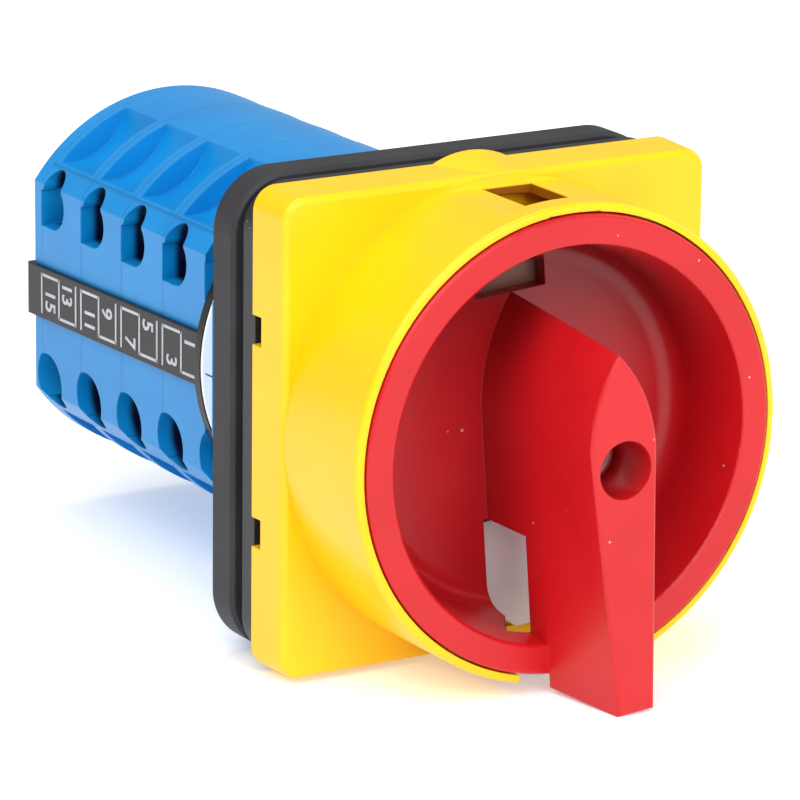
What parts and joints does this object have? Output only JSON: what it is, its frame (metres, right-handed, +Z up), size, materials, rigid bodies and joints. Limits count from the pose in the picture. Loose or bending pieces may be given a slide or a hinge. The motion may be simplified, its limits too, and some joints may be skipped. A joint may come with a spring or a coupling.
{
  "type": "rotary isolator switch",
  "caption": "Panel-mounted rotary isolator switch: padlockable cup-shaped turning handle on a square collared front plate, with stacked cam-operated contact decks behind the panel.",
  "frame": {"origin": "on the switch's axis, in the plane of the panel's front face (the gasket's rear face)", "axes": "-Y out of the panel towards the user, +Y along the body behind the panel, +Z up with the handle at OFF pointing down, +X to the right seen from the front"},
  "size_m": [0.064, 0.1201, 0.0659],
  "materials": {
    "red_plastic": "satin moulded thermoplastic",
    "yellow_plastic": "satin moulded thermoplastic",
    "black_plastic": "fine spark texture",
    "black_rubber": "moulded, slightly dusty",
    "blue_plastic": "satin moulded thermoplastic",
    "cam_plastic": "natural moulded acetal",
    "white_plastic": "satin moulded thermoplastic",
    "white_card": "printed",
    "label_film": "printed film",
    "plated_steel": "zinc plated",
    "spring_steel": "drawn wire",
    "contact_brass": "bright, stamped"
  },
  "bodies": {
    "housing": {"front_plate": "yellow_plastic", "base_frame": "black_plastic", "frame_screws": "plated_steel", "gasket": "black_rubber", "latch_housing": "blue_plastic", "detent_spring_upper": "spring_steel", "detent_spring_lower": "spring_steel", "scale_card": "white_card", "scale_ring": "black_plastic", "deck_1": "blue_plastic", "deck_2": "blue_plastic", "deck_3": "blue_plastic", "deck_4": "blue_plastic", "fixed_contacts_1": "contact_brass", "fixed_contacts_2": "contact_brass", "fixed_contacts_3": "contact_brass", "fixed_contacts_4": "contact_brass", "terminal_screws": "plated_steel", "terminal_clamps": "contact_brass", "contact_springs_upper": "spring_steel", "contact_springs_lower": "spring_steel", "rear_cover": "blue_plastic", "tie_bolts": "plated_steel", "tie_nuts": "plated_steel", "label_left": "label_film", "label_right": "label_film"},
    "rotor": {"handle": "red_plastic", "handle_screw": "plated_steel", "handle_washer": "plated_steel", "shaft": "plated_steel", "indicator_ring": "white_plastic", "lock_spring": "spring_steel", "star_wheel": "cam_plastic", "stop_plate": "plated_steel", "cam_1": "cam_plastic", "cam_2": "cam_plastic", "cam_3": "cam_plastic", "cam_4": "cam_plastic"},
    "lock": {"lock_slide": "white_plastic"},
    "detent_upper": {"detent_plunger_upper": "cam_plastic"},
    "detent_lower": {"detent_plunger_lower": "cam_plastic"},
    "contact_1": {"plunger_1": "cam_plastic", "bridge_1": "contact_brass"},
    "contact_2": {"plunger_2": "cam_plastic", "bridge_2": "contact_brass"},
    "contact_3": {"plunger_3": "cam_plastic", "bridge_3": "contact_brass"},
    "contact_4": {"plunger_4": "cam_plastic", "bridge_4": "contact_brass"},
    "contact_5": {"plunger_5": "cam_plastic", "bridge_5": "contact_brass"},
    "contact_6": {"plunger_6": "cam_plastic", "bridge_6": "contact_brass"},
    "contact_7": {"plunger_7": "cam_plastic", "bridge_7": "contact_brass"},
    "contact_8": {"plunger_8": "cam_plastic", "bridge_8": "contact_brass"}
  },
  "joints": [
    {"name": "handle_turn", "type": "hinge", "parent": "housing", "child": "rotor", "pos_m": [0, 0, 0], "axis": [0, 1, 0], "range_deg": [0, 94.5]},
    {"name": "lock_slide_pull", "type": "slide", "parent": "rotor", "child": "lock", "axis": [-0.0785, 0, 0.9969], "range_m": [0, 0.003], "stiffness_N_per_m": 300, "deforming": ["lock_spring"]},
    {"name": "detent_upper_press", "type": "slide", "parent": "housing", "child": "detent_upper", "axis": [0, 0, 1], "range_m": [0, 0.0012], "stiffness_N_per_m": 1500, "deforming": ["detent_spring_upper"]},
    {"name": "detent_lower_press", "type": "slide", "parent": "housing", "child": "detent_lower", "axis": [0, 0, -1], "range_m": [0, 0.0012], "stiffness_N_per_m": 1500, "deforming": ["detent_spring_lower"]},
    {"name": "contact_1_close", "type": "slide", "parent": "housing", "child": "contact_1", "axis": [0, 0, 1], "range_m": [-0.002, 0], "deforming": ["contact_springs_upper"]},
    {"name": "contact_2_close", "type": "slide", "parent": "housing", "child": "contact_2", "axis": [0, 0, -1], "range_m": [-0.002, 0], "deforming": ["contact_springs_lower"]},
    {"name": "contact_3_close", "type": "slide", "parent": "housing", "child": "contact_3", "axis": [0, 0, 1], "range_m": [-0.002, 0]},
    {"name": "contact_4_close", "type": "slide", "parent": "housing", "child": "contact_4", "axis": [0, 0, -1], "range_m": [-0.002, 0]},
    {"name": "contact_5_close", "type": "slide", "parent": "housing", "child": "contact_5", "axis": [0, 0, 1], "range_m": [-0.002, 0]},
    {"name": "contact_6_close", "type": "slide", "parent": "housing", "child": "contact_6", "axis": [0, 0, -1], "range_m": [-0.002, 0]},
    {"name": "contact_7_close", "type": "slide", "parent": "housing", "child": "contact_7", "axis": [0, 0, 1], "range_m": [-0.002, 0]},
    {"name": "contact_8_close", "type": "slide", "parent": "housing", "child": "contact_8", "axis": [0, 0, -1], "range_m": [-0.002, 0]}
  ],
  "couplings": [
    {"joint": "contact_1_close", "follows": "handle_turn", "m_per_rad": -0.0012126},
    {"joint": "contact_2_close", "follows": "handle_turn", "m_per_rad": -0.0012126},
    {"joint": "contact_3_close", "follows": "handle_turn", "m_per_rad": -0.0012126},
    {"joint": "contact_4_close", "follows": "handle_turn", "m_per_rad": -0.0012126},
    {"joint": "contact_5_close", "follows": "handle_turn", "m_per_rad": -0.0012126},
    {"joint": "contact_6_close", "follows": "handle_turn", "m_per_rad": -0.0012126},
    {"joint": "contact_7_close", "follows": "handle_turn", "m_per_rad": -0.0012126},
    {"joint": "contact_8_close", "follows": "handle_turn", "m_per_rad": -0.0012126}
  ]
}
